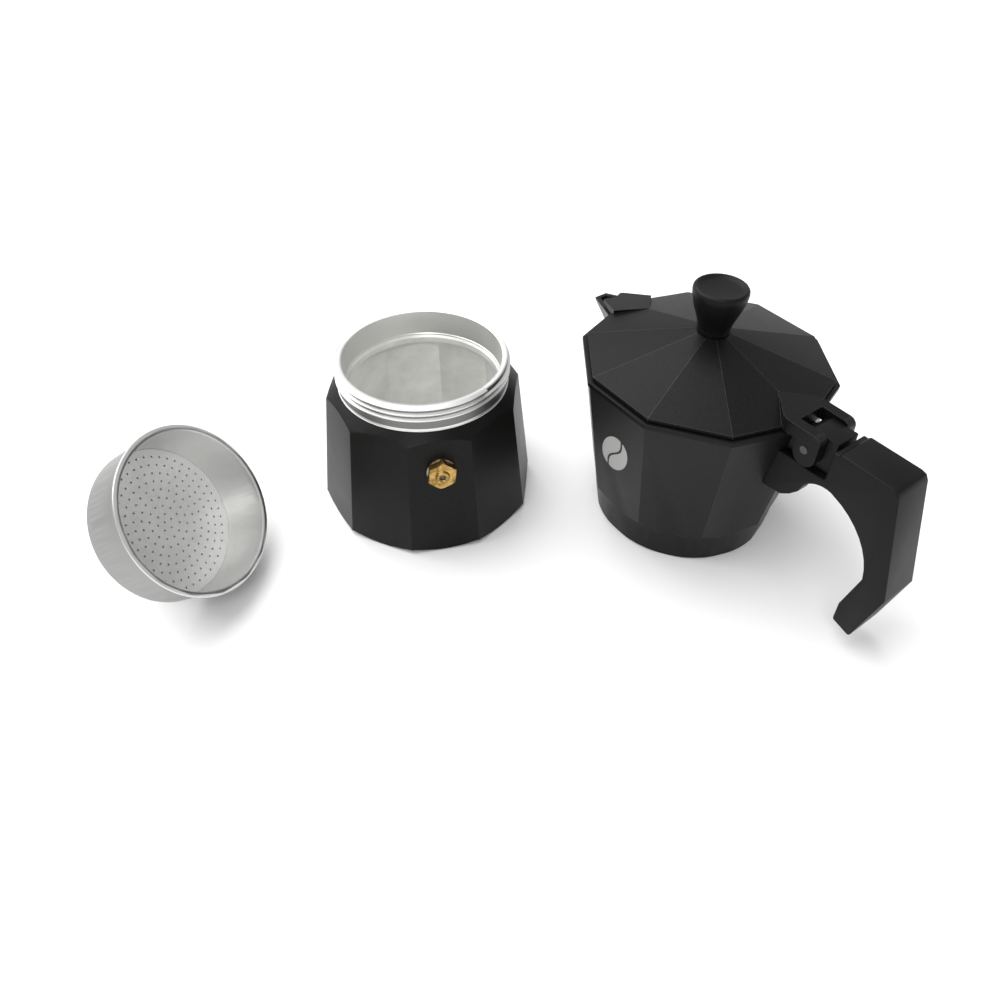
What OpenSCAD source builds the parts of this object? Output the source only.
// Three-cup stovetop moka pot, shown with its three groups apart on a table:
// boiler in the middle, collector with its lid and handle on one side, funnel on the other.
// Millimetres, +Z up. The boiler stands at the origin and its safety valve faces -Y.

/* [Layout] */
// Groups apart on the table, or screwed together
layout = "apart"; // [apart, assembled]
// Angle that the lid stands open
lid_angle = 0; // [0:1:93]
// How far steam has pushed the valve's plunger out
valve_lift = 0; // [0:0.1:1.2]

/* [Boiler] */
// Height of the boiler to the rim of its collar
boiler_h = 65.8; // [55:0.1:90]
// Reach of the ten-sided boiler's corners beyond its neck, at its base
shoulder_w = 10.9; // [8:0.1:14]
// Inward lean of the boiler's corners, per mm of height
boiler_lean = 0.112; // [0.05:0.005:0.2]
// Crest diameter of the collar's thread
thread_d = 68; // [60:0.2:80]
// Wall of the collar, from the thread's crests to the bore
collar_wall = 3.1; // [2.5:0.1:5]
// Wall of the boiler
boiler_wall = 3.1; // [2:0.1:5]
// Height of the collar above the shoulder
collar_h = 10.8; // [8:0.1:16]

/* [Safety valve] */
// Depth of the valve's centre below the boiler's rim
valve_drop = 26.8; // [24:0.1:36]
// Width across the flats of the valve's hexagon
valve_af = 10; // [8:0.5:13]

/* [Funnel] */
// Reach of the funnel's rolled lip beyond the collar's bore
lip_over = 1; // [0.6:0.1:2]
// Depth of the funnel's cup
cup_depth = 20.5; // [15:0.5:30]
// Length of the stem below the cup's corner
stem_len = 35.8; // [20:0.2:50]
// Outside diameter of the stem
stem_d = 9.5; // [7:0.1:14]
// Diameter of the holes in the funnel's plate
plate_hole_d = 0.8; // [0.6:0.1:1.5]
// Rings of holes in the funnel's plate
plate_rings = 8; // [4:1:9]

/* [Collector] */
// Height of the collector to its lip
collector_h = 71.2; // [60:0.1:100]
// Growth of the collector's corner radius from its foot to the top of its round band
band_flare = 3.5; // [2:0.1:6]
// Outward lean of the collector's corners, per mm of height
collector_lean = 0.151; // [0.05:0.005:0.25]
// Height of the round band at the foot of the collector
band_h = 14.8; // [12:0.1:24]
// Wall of the collector
collector_wall = 2.5; // [1.8:0.1:4]
// Depth of the coffee outlet's cap below the collector's lip
outlet_drop = 13.2; // [8:0.1:24]

/* [Lid and knob] */
// Step from the collector's lip in to the lid's rim
lid_step = 1.77; // [0.5:0.01:4]
// Rise of the lid from its rim to the point of its ridges
lid_rise = 13.3; // [8:0.1:20]
// Largest diameter of the knob
knob_d = 20.2; // [14:0.2:30]
// Height of the knob
knob_h = 18.3; // [12:0.1:30]

/* [Hinge and handle] */
// Distance of the hinge pin outside the collector's lip
pin_out = 5.33; // [4:0.01:8]
// Diameter of the hinge pin
pin_d = 3; // [2:0.1:4]
// Width of the hinge block
block_w = 10.4; // [8:0.1:14]
// Width over the lid's two lugs
fork_w = 19.2; // [16:0.1:24]
// Width of the handle
handle_w = 15.9; // [12:0.1:22]
// Reach of the grip's outer corner beyond the hinge pin
grip_out = 33.8; // [28:0.1:44]

/* [Fits] */
// Radial clearance between the boiler's thread and the collector's
thread_gap = 0.3; // [0.1:0.05:0.6]
// Radial clearance of the funnel in the collar
funnel_gap = 0.5; // [0.2:0.1:1]
// Radial running clearance of the hinge pin in its block
hinge_gap = 0.06; // [0.02:0.01:0.1]
// Side clearance between the lugs and the hinge block
fork_gap = 0.4; // [0.2:0.05:0.8]
// Radial clearance of the valve's plunger
plunger_gap = 0.1; // [0.05:0.05:0.2]
// Clearance between the closed lid and the collector
lid_gap = 0.4; // [0.2:0.05:0.8]
// Radial clearance of pieces that are screwed or pressed in
seat_gap = 0.03; // [0.01:0.01:0.1]

/* [Hidden] */
$fn = 96;
sides = 10;
c18 = cos(180 / sides);

// Colours
black_coat = [0.10, 0.10, 0.10];
bare_metal = [0.72, 0.72, 0.70];
brass = [0.74, 0.58, 0.30];
steel = [0.60, 0.60, 0.62];
black_plastic = [0.06, 0.06, 0.06];
white_rubber = [0.88, 0.87, 0.83];

// Boiler
collar_z = boiler_h - collar_h;
crest_r = thread_d / 2;
neck_r = crest_r - 0.8;
boiler_r = neck_r + shoulder_w;
root_r = crest_r - 1;
thread_turns = 3;
thread_pitch = 2.5;
bore_r = crest_r - collar_wall;
throat_r = bore_r - 1;
throat_low_z = collar_z - 3.5;
shoulder_slope = 0.86;
shoulder_reach = shoulder_w + 1.1;
shoulder_low_z = collar_z - shoulder_reach * shoulder_slope;
floor_t = 3.2;
valve_z = boiler_h - valve_drop;
pad_cut_r = 8;
valve_lean = atan(boiler_lean * c18);
valve_y = c18 * (boiler_r - boiler_lean * valve_z);

// Valve, measured outwards from its facet
washer_t = 0.6;
hex_t = 3.4;
boss_t = 1.3;
shank_r = 4;
shank_z = -7.4;
chamber_r = 2.6;
ring_t = 0.9;
head_t = 1.4;
stem_r = 0.9;
spring_wire = 0.25;
face_z = washer_t + hex_t;
end_wall_z = face_z - 0.9;
head_z = shank_z + ring_t + 0.05;

// Funnel, measured from its mouth along its axis
funnel_lip_r = bore_r + lip_over;
lip_t = 1.5;
cup_t = 0.9;
cup_top_r = bore_r - funnel_gap;
cup_low_r = cup_top_r - 1.2;
cone_drop = 3.6;
stem_t = 0.7;
cone_low_z = -cup_depth - cone_drop;
stem_tip_z = -cup_depth - stem_len;
plate_t = 0.6;
plate_z = 1.92 - cup_depth;
funnel_tilt = atan((cup_low_r - stem_d / 2) / stem_len);
funnel_rest_z = cup_depth * sin(funnel_tilt) + cup_low_r * cos(funnel_tilt);

// Collector, measured from its foot
socket_r = crest_r + thread_gap;
foot_r = socket_r + 1.4;
collector_r = foot_r + band_flare;
foot_corner_r = collector_r - collector_lean * band_h;
band_r = c18 * collector_r - 0.05;
lip_h = 1.8;
lip_r = collector_r + collector_lean * (collector_h - band_h) + 0.35;
outlet_h = collector_h - outlet_drop;
gasket_z = 11.3;
gasket_t = 3.1;
gasket_or = socket_r - 1.3;
gasket_ir = gasket_or - 8;
seat_z = gasket_z + gasket_t;
partition_z = 19.6;
ceiling_z = partition_z - 2.2;
column_r = 5.4;
column_top_r = 4.4;
column_bore_r = 3.2;
filter_t = 0.8;
pin_u = lip_r + pin_out;
block_root_u = pin_u - 9.9;
block_t = 13.1;
pin_z = collector_h - 1.4;
block_top = collector_h + 4.6;
block_low = block_top - block_t;
block_u = pin_u + 8.8;
nose_u = lip_r + 12.93;
spout_len = 23;
spout_root_u = nose_u - spout_len;
spout_low_z = collector_h - 31.2;
keel_z = collector_h - 27.2;

// Lid
lid_r = lip_r - lid_step;
lid_z = collector_h + lid_gap;
lid_edge = 1.4;
ridge_z = lid_z + lid_edge + lid_rise;
ridge_slope = lid_rise / lid_r;
facet_lean = atan(ridge_slope / c18);
lid_t = 1.7;
pad_r = 6.4;
pad_z = ridge_z - ridge_slope * pad_r;
tab_z = collector_h + 5.8;
tab_u = (ridge_z - tab_z) / ridge_slope;
slot_half = block_w / 2 + fork_gap;
slot_u = pin_u - 6.6;
lug_r = 4.4;
lug_u = pin_u + 0.5;
lug_z = pin_z - 1.9;
lug_round = 3;
arrow_u = lip_r - 15.07;
pin_r = pin_d / 2;

// Handle
notch_z = block_low - 0.8;
handle_top = collector_h + 4.1;
screw_u = pin_u + 4.6;
screw_r = 2;
head_r = 3.4;
head_top_z = notch_z - 3.4;
screw_head_t = 1.9;
grip_u = pin_u + grip_out;
handle_root_u = pin_u - 15.4;

// Where the loose groups stand
collector_at = [boiler_r + lip_r + 10.63, -33.2, 0];
collector_turn = -67.25;
funnel_at = [-boiler_r - funnel_lip_r - 11.8, -35.7, funnel_rest_z];
funnel_turn = -25;
assembled_z = boiler_h - 9.8;

// Points of an arc in the handle's side view, between two angles
function arc(u, z, r, from, to) =
  [for (i = [0 : 8]) let (a = from + (to - from) * i / 8) [u + r * cos(a), z + r * sin(a)]];

module place_collector() {
  if (layout == "assembled") translate([0, 0, assembled_z]) children();
  else translate(collector_at) rotate([0, 0, collector_turn]) children();
}

module place_lid() {
  place_collector()
    translate([pin_u, 0, pin_z]) rotate([0, lid_angle, 0]) translate([-pin_u, 0, -pin_z]) children();
}

module place_funnel() {
  if (layout == "assembled") translate([0, 0, boiler_h + lip_t]) children();
  else translate(funnel_at) rotate([0, 90 - funnel_tilt, funnel_turn]) children();
}

module place_valve() {
  translate([0, -valve_y, valve_z]) rotate([90 - valve_lean, 0, 0]) children();
}

// Ten flat cutters that leave a leaning ten-sided outline; r is the corner radius at z = 0,
// and the corners move outwards by lean per mm of height.
module ten_cuts(r, lean, z_low) {
  for (k = [0 : sides - 1])
    rotate([0, 0, 36 * k + 18])
      translate([c18 * (r + lean * z_low), 0, z_low])
        rotate([0, atan(lean * c18), 0])
          translate([0, -60, -20]) cube([60, 120, 160]);
}

// Ten flat cutters above a pyramid whose ridges start at z_top on the axis and fall by slope.
module ten_roofs(z_top, slope) {
  for (k = [0 : sides - 1])
    rotate([0, 0, 36 * k + 18])
      translate([0, 0, z_top])
        rotate([0, atan(slope / c18), 0])
          translate([-2, -60, 0]) cube([120, 120, 60]);
}

// Rings of holes, six more in each ring than in the one inside it.
module hole_rings(rings, pitch, d) {
  circle(d = d, $fn = 16);
  for (k = [1 : rings])
    for (i = [0 : 6 * k - 1])
      rotate(i * 60 / k + 7 * k) translate([k * pitch, 0]) circle(d = d, $fn = 16);
}

module boiler_body() {
  color(black_coat)
  difference() {
    union() {
      difference() {
        rotate_extrude() polygon([[0, 0], [boiler_r - 2.9, 0], [boiler_r - 0.6, 2.2],
          [boiler_r + 2, 2.2], [boiler_r + 2, shoulder_low_z - 12],
          [neck_r + shoulder_reach, shoulder_low_z], [neck_r, collar_z], [0, collar_z]]);
        ten_cuts(boiler_r, -boiler_lean, 0);
      }
      rotate_extrude() polygon(concat([[0, collar_z - 1], [neck_r, collar_z - 1], [neck_r, boiler_h - 8.2]],
        [for (i = [0 : thread_turns - 1])
          for (p = [[neck_r, 0], [crest_r, 0.7], [crest_r, 1.3], [root_r, 2.1]])
            [p[0], boiler_h - 8.1 + i * thread_pitch + p[1]]],
        [[crest_r - 0.5, boiler_h - 0.3], [neck_r, boiler_h], [0, boiler_h]]));
      place_valve() translate([0, 0, -boiler_wall - 2]) cylinder(r = pad_cut_r, h = boiler_wall + 1.2);
    }
    // Collar bore, throat and chamber
    rotate_extrude() polygon([[0, boiler_h + 1], [bore_r + 0.7, boiler_h + 1], [bore_r + 0.7, boiler_h],
      [bore_r, boiler_h - 0.7], [bore_r, collar_z], [throat_r, collar_z - 1.3],
      [throat_r, throat_low_z + 0.1], [0, throat_low_z + 0.1]]);
    difference() {
      rotate_extrude() polygon([[0, floor_t], [boiler_r, floor_t],
        [boiler_r, throat_low_z - (boiler_r - throat_r)], [throat_r, throat_low_z],
        [throat_r, throat_low_z + 0.2], [0, throat_low_z + 0.2]]);
      ten_cuts(boiler_r - boiler_wall / c18, -boiler_lean, 0);
      place_valve() translate([0, 0, -boiler_wall - 2]) cylinder(r = pad_cut_r, h = 12);
    }
    place_valve() translate([0, 0, -20]) cylinder(r = shank_r + seat_gap, h = 40);
  }
}

module valve_washer() {
  color(steel) place_valve() difference() {
    cylinder(r = valve_af / 2 + 0.4, h = washer_t);
    translate([0, 0, -1]) cylinder(r = shank_r + 0.1, h = 4);
  }
}

module valve_body() {
  color(brass) place_valve() difference() {
    union() {
      intersection() {
        translate([0, 0, washer_t]) rotate([0, 0, 22]) cylinder(r = valve_af / sqrt(3), h = hex_t, $fn = 6);
        translate([0, 0, washer_t]) rotate_extrude()
          polygon([[0, 0], [7, 0], [7, hex_t - 0.9], [valve_af / 2 + 0.15, hex_t], [0, hex_t]]);
      }
      translate([0, 0, face_z - 0.1]) cylinder(r1 = 2.75, r2 = 2.35, h = boss_t + 0.1);
      translate([0, 0, shank_z]) cylinder(r = shank_r, h = -shank_z + washer_t);
    }
    translate([0, 0, shank_z - 1]) cylinder(r = chamber_r, h = end_wall_z - shank_z + 1);
    translate([0, 0, end_wall_z - 1]) cylinder(r = stem_r + plunger_gap, h = 9);
    translate([0, 0, face_z + boss_t - 0.5]) cylinder(r1 = stem_r + plunger_gap, r2 = 1.7, h = 0.6);
  }
}

module valve_seat_ring() {
  color(brass) place_valve() translate([0, 0, shank_z]) difference() {
    cylinder(r = chamber_r - seat_gap, h = ring_t);
    translate([0, 0, -1]) cylinder(r = 1.3, h = 4);
  }
}

module valve_plunger() {
  color(steel) place_valve() translate([0, 0, head_z + valve_lift]) {
    cylinder(r = chamber_r - plunger_gap - 0.05, h = head_t);
    translate([0, 0, head_t - 0.1]) cylinder(r = stem_r, h = face_z + 0.5 - head_z - head_t);
  }
}

module valve_spring() {
  spring_low = head_z + head_t + spring_wire + 0.05;
  spring_h = end_wall_z - spring_wire - 0.05 - spring_low;
  color(steel) place_valve() translate([0, 0, spring_low])
    linear_extrude(height = spring_h, twist = -360 * 4, slices = 56, $fn = 6)
      translate([1.75, 0]) circle(r = spring_wire + 0.1, $fn = 6);
}

module funnel_cup() {
  r = funnel_lip_r;
  color(bare_metal) place_funnel()
    rotate_extrude() polygon([[cup_top_r - cup_t, -1], [cup_top_r - cup_t + 0.15, -0.5],
      [cup_top_r - 0.2, -0.1], [cup_top_r + 0.3, 0], [r - 0.5, 0], [r - 0.15, -0.2], [r, -0.6], [r, -0.9],
      [r - 0.15, -1.3],
      [r - 0.5, -lip_t], [cup_top_r, -lip_t], [cup_top_r, -2],
      [cup_low_r + 0.08, -cup_depth + 1.1], [cup_low_r - 0.35, -cup_depth + 0.3],
      [cup_low_r - 1.2, -cup_depth],
      [stem_d / 2 + 1.4, cone_low_z], [stem_d / 2 + 0.9, cone_low_z - 3],
      [stem_d / 2 + seat_gap, cone_low_z - 3], [stem_d / 2 + seat_gap, cone_low_z + 0.6],
      [cup_low_r - cup_t - 1.2, -cup_depth + 0.75], [cup_low_r - cup_t, -cup_depth + 1.3]]);
}

module funnel_stem() {
  color(bare_metal) place_funnel() rotate_extrude() polygon([[stem_d / 2 - stem_t, stem_tip_z],
    [stem_d / 2 - 0.2, stem_tip_z], [stem_d / 2, stem_tip_z + 0.3], [stem_d / 2, cone_low_z + 0.2],
    [stem_d / 2 - stem_t, cone_low_z + 0.2]]);
}

module funnel_plate() {
  color(bare_metal) place_funnel() translate([0, 0, plate_z - plate_t])
    linear_extrude(height = plate_t) difference() {
      circle(r = cup_low_r - cup_t - 0.02);
      hole_rings(plate_rings, 3.15, plate_hole_d);
    }
}

// A V-shaped beak; inset moves its flanks, its keel and its nose inwards.
module spout_wedge(inset, top) {
  difference() {
    translate([inset - nose_u, -14, spout_low_z]) cube([spout_len, 28, top - spout_low_z]);
    for (m = [0, 1])
      mirror([0, m, 0]) translate([-spout_root_u, 12.4, collector_h]) rotate([0, 111.1, 110.3])
        translate([-90, -90, -inset]) cube([180, 180, 90]);
    translate([-spout_root_u, 0, keel_z])
      rotate([0, 225, 0]) translate([-90, -90, -inset]) cube([180, 180, 90]);
  }
}

// Hole for the hinge pin, with a radial gap round it
module pin_bore(gap) {
  translate([pin_u, 50, pin_z]) rotate([90, 0, 0]) cylinder(r = pin_r + gap, h = 100);
}

module collector_shell() {
  difference() {
    rotate_extrude() polygon([[0, 0], [foot_r - 0.8, 0], [foot_r, 0.8], [band_r, band_h - 0.6],
      [collector_r + 2, band_h + 3.4], [collector_r + 16, band_h + 3.4], [collector_r + 16, collector_h],
      [0, collector_h]]);
    ten_cuts(foot_corner_r, collector_lean, 0);
  }
  translate([0, 0, collector_h - lip_h]) cylinder(r = lip_r, h = lip_h, $fn = sides);
}

module collector_body() {
  color(black_coat) place_collector() difference() {
    union() {
      collector_shell();
      intersection() {
        spout_wedge(0, collector_h);
        translate([-spout_root_u - 3, -20, collector_h])
          rotate([0, 96, 180]) translate([0, -40, -1]) cube([40, 80, 40]);
      }
      // Hinge block
      translate([block_root_u, -block_w / 2, block_low])
        cube([pin_u - block_root_u, block_w, collector_h - 0.9 - block_low]);
      translate([pin_u, -block_w / 2, block_low]) cube([block_u - pin_u, block_w, block_t]);
      translate([pin_u, block_w / 2, pin_z]) rotate([90, 0, 0]) cylinder(r = 5.6, h = block_w);
      translate([pin_u - 1.5, -block_w / 2, pin_z]) cube([3, block_w, block_top - pin_z]);
    }
    // Coffee chamber
    difference() {
      rotate_extrude() polygon([[0, partition_z], [8, partition_z], [lip_r, partition_z - 2.4],
        [lip_r, collector_h + 1], [0, collector_h + 1]]);
      ten_cuts(foot_corner_r - collector_wall / c18, collector_lean, 0);
      translate([block_root_u, -block_w / 2 - 2, block_low - 2]) cube([20, block_w + 4, 30]);
    }
    // Spout channel
    spout_wedge(2, collector_h + 2);
    // Threaded socket, gasket seat and ceiling
    rotate_extrude() polygon(concat([[0, -1], [socket_r + 0.5, -1], [socket_r + 0.5, 0], [socket_r, 0.6]],
      [for (i = [0 : thread_turns - 1])
        for (p = [[socket_r, 1.0], [socket_r - 0.7, 1.6], [socket_r - 0.7, 2.0], [socket_r, 2.7]])
          [p[0], p[1] + i * thread_pitch]],
      [[socket_r, gasket_z - 1.2], [gasket_or + 0.1, gasket_z - 0.6], [gasket_or + 0.1, seat_z],
        [gasket_ir + 1.5, seat_z], [column_r + 4, ceiling_z], [0, ceiling_z]]));
    translate([0, 0, partition_z - 6]) cylinder(r = column_r + seat_gap, h = 12);
    // Hinge pin and handle screw
    pin_bore(hinge_gap);
    translate([screw_u, 0, block_low - 1]) cylinder(r = screw_r + seat_gap, h = 8.2);
  }
}

module outlet_column() {
  color(bare_metal) place_collector() difference() {
    rotate_extrude() polygon([[3.6, ceiling_z], [column_r, ceiling_z], [column_r, partition_z],
      [column_r + 1.2, partition_z + 0.05], [column_r + 1.2, partition_z + 1], [column_r, partition_z + 2.2],
      [column_top_r, outlet_h - 6], [column_top_r, outlet_h - 3], [column_bore_r, outlet_h - 3],
      [column_bore_r, outlet_h - 8]]);
    for (a = [90, 270])
      rotate([0, 0, a]) translate([2, 0, outlet_h - 8]) rotate([0, 90, 0]) cylinder(r = 1.6, h = 8);
  }
}

module column_cap() {
  plug_r = column_bore_r - seat_gap;
  seat_h = outlet_h - 2.98;
  color(bare_metal) place_collector() rotate_extrude() polygon([[0, outlet_h - 5], [plug_r, outlet_h - 5],
    [plug_r, seat_h], [5.2, seat_h], [5.2, outlet_h - 1.8], [3.6, outlet_h - 0.5],
    [1.5, outlet_h], [0, outlet_h]]);
}

module filter_plate() {
  color(steel) place_collector() translate([0, 0, seat_z - filter_t - 0.03])
    linear_extrude(height = filter_t) difference() {
      circle(r = gasket_ir + 1.1);
      hole_rings(6, 3.6, 1.2);
    }
}

module gasket() {
  color(white_rubber) place_collector() rotate_extrude() polygon([[gasket_ir, gasket_z], [gasket_or, gasket_z],
    [gasket_or, seat_z - 0.03], [gasket_ir + 1.15, seat_z - 0.03],
    [gasket_ir + 1.15, seat_z - filter_t - 0.08],
    [gasket_ir, seat_z - filter_t - 0.08]]);
}

module handle() {
  color(black_plastic) place_collector() difference() {
    translate([0, handle_w / 2, 0]) rotate([90, 0, 0]) linear_extrude(height = handle_w)
      polygon(concat([[handle_root_u, notch_z], [block_u - 1, notch_z], [block_u + 0.2, notch_z + 0.5],
        [block_u + 0.6, notch_z + 1.6], [block_u + 0.6, handle_top - 0.9], [block_u + 2.4, handle_top - 0.9],
        [block_u + 3.2, handle_top],
        [grip_u - 3, handle_top], [grip_u - 1.1, handle_top - 0.6], [grip_u, handle_top - 2.4],
        [grip_u + 9, collector_h - 38.1], [grip_u + 3.1, collector_h - 62.6],
        [grip_u + 2.4, collector_h - 63.2], [grip_u - 4.2, collector_h - 61.4],
        [grip_u - 4.6, collector_h - 60.6], [grip_u - 4.6, collector_h - 52.8]],
        arc(grip_u - 28.3, collector_h - 38.95, 27.8, 5.7, 73),
        arc(pin_u + 11.1, collector_h - 21.75, 9.83, 80, 150),
        [[pin_u + 1.5, collector_h - 20.4], [pin_u - 1.1, collector_h - 23.6],
          [pin_u - 4.4, collector_h - 26.2], [pin_u - 8.4, collector_h - 26.8],
          [handle_root_u, collector_h - 26.8]]));
    difference() {
      cylinder(r = block_u + 20, h = collector_h + 20);
      ten_cuts(foot_corner_r + 0.1, collector_lean, 0);
    }
    translate([screw_u, 0, notch_z - 5]) cylinder(r = screw_r + 0.15, h = 6);
    translate([screw_u, 0, head_top_z - 18.5]) cylinder(r = head_r + 0.6, h = 19.2);
  }
}

module handle_washer() {
  color(steel) place_collector() translate([screw_u, 0, head_top_z + 0.02]) difference() {
    cylinder(r = head_r + 0.4, h = 0.6);
    translate([0, 0, -1]) cylinder(r = screw_r + 0.1, h = 3);
  }
}

module handle_screw() {
  color(steel) place_collector() translate([screw_u, 0, 0]) difference() {
    union() {
      translate([0, 0, head_top_z - screw_head_t]) cylinder(r1 = head_r - 0.6, r2 = head_r, h = screw_head_t);
      translate([0, 0, head_top_z - 0.1]) cylinder(r = screw_r, h = block_low + 6.4 - head_top_z);
    }
    for (a = [0, 90]) rotate([0, 0, a]) translate([-2, -0.4, head_top_z - 3]) cube([4, 0.8, 2.2]);
  }
}

module lug(v0) {
  translate([0, v0 + fork_w / 2 - slot_half, 0]) rotate([90, 0, 0])
    linear_extrude(height = fork_w / 2 - slot_half) {
      translate([lug_u, lug_z]) circle(r = lug_r);
      translate([lug_u + lug_r - lug_round, tab_z - lug_round]) circle(r = lug_round);
      translate([lug_u - lug_r, lug_z]) square([2 * lug_r, tab_z - lug_round - lug_z]);
      translate([slot_u - 3, tab_z - 5]) square([lug_u + lug_r - lug_round - slot_u + 3, 5]);
    }
}

module lid() {
  color(black_coat) place_lid() difference() {
    union() {
      difference() {
        translate([0, 0, lid_z]) cylinder(r = lid_r, h = lid_edge + lid_rise + 2, $fn = sides);
        ten_roofs(ridge_z, ridge_slope);
        translate([-20, -20, pad_z]) cube([40, 40, 20]);
      }
      // Flat tab that ends in the two lugs
      translate([0, 0, lid_z]) linear_extrude(height = tab_z - lid_z)
        polygon([[tab_u, 0], [pin_u - 10.8, -fork_w / 2 + 0.5], [pin_u - 9.4, -fork_w / 2],
          [slot_u, -fork_w / 2], [slot_u, fork_w / 2], [pin_u - 9.4, fork_w / 2],
          [pin_u - 10.8, fork_w / 2 - 0.5]]);
      lug(slot_half);
      lug(-fork_w / 2);
      // Arrow-shaped cover over the spout
      difference() {
        translate([-arrow_u, 0, lid_z - 1.1]) linear_extrude(height = 12)
          polygon([[0, 0], [-8.8, -10.2], [-20.2, -5.3], [-20.9, -4.2], [-19.6, -1.6], [-19, 0], [-19.6, 1.6],
            [-20.9, 4.2], [-20.2, 5.3], [-8.8, 10.2]]);
        translate([-arrow_u, -30, tab_z]) rotate([0, 167, 0]) translate([-10, 0, -40]) cube([50, 60, 40]);
        translate([-arrow_u - 12, -30, lid_z]) rotate([0, -187, 0]) translate([-30, 0, 0]) cube([60, 60, 20]);
      }
    }
    // Hollow underside
    difference() {
      translate([0, 0, lid_z - 3]) cylinder(r = lid_r - 2.4, h = lid_edge + lid_rise + 6, $fn = sides);
      ten_roofs(ridge_z - lid_t / cos(facet_lean), ridge_slope);
      translate([-20, -20, pad_z - lid_t]) cube([40, 40, 20]);
    }
    pin_bore(0.01);
    translate([0, 0, pad_z - 5]) cylinder(r = screw_r + 0.15, h = 10);
  }
}

module hinge_pin() {
  color(steel) place_lid() translate([pin_u, fork_w / 2 + 0.4, pin_z]) rotate([90, 0, 0])
    cylinder(r = pin_r, h = fork_w + 0.6);
}

module knob() {
  r = knob_d / 2;
  color(black_plastic) place_lid() translate([0, 0, pad_z + 0.02]) difference() {
    rotate_extrude() polygon([[0, 0], [5.9, 0], [6.1, 0.4], [6.0, 1.6], [6.5, 4], [7.4, 6.6], [8.5, 9.6],
      [r - 0.8, 12.6], [r - 0.2, 15.4], [r, knob_h - 1.6], [r - 0.3, knob_h - 0.6], [r - 1.1, knob_h],
      [r - 1.8, knob_h - 0.15], [r - 2.6, knob_h - 0.8], [0, knob_h - 1]]);
    translate([0, 0, -1]) cylinder(r = 3 + seat_gap, h = 11);
  }
}

module knob_insert() {
  color(brass) place_lid() translate([0, 0, pad_z + 0.1]) difference() {
    cylinder(r = 3, h = 9.8);
    translate([0, 0, -1]) cylinder(r = screw_r + seat_gap, h = 9.5);
  }
}

module knob_washer() {
  color(steel) place_lid() translate([0, 0, pad_z - lid_t - 0.62]) difference() {
    cylinder(r = 4.6, h = 0.6);
    translate([0, 0, -1]) cylinder(r = screw_r + 0.1, h = 3);
  }
}

module knob_screw() {
  color(steel) place_lid() translate([0, 0, pad_z - lid_t - 0.64]) difference() {
    union() {
      translate([0, 0, -screw_head_t]) cylinder(r1 = head_r - 0.6, r2 = head_r, h = screw_head_t);
      translate([0, 0, -0.1]) cylinder(r = screw_r, h = 10);
    }
    for (a = [0, 90]) rotate([0, 0, a]) translate([-2, -0.4, -3]) cube([4, 0.8, 2.2]);
  }
}

boiler_body();
valve_washer();
valve_body();
valve_seat_ring();
valve_spring();
valve_plunger();
funnel_cup();
funnel_stem();
funnel_plate();
collector_body();
outlet_column();
column_cap();
filter_plate();
gasket();
handle();
handle_washer();
handle_screw();
lid();
hinge_pin();
knob();
knob_insert();
knob_washer();
knob_screw();
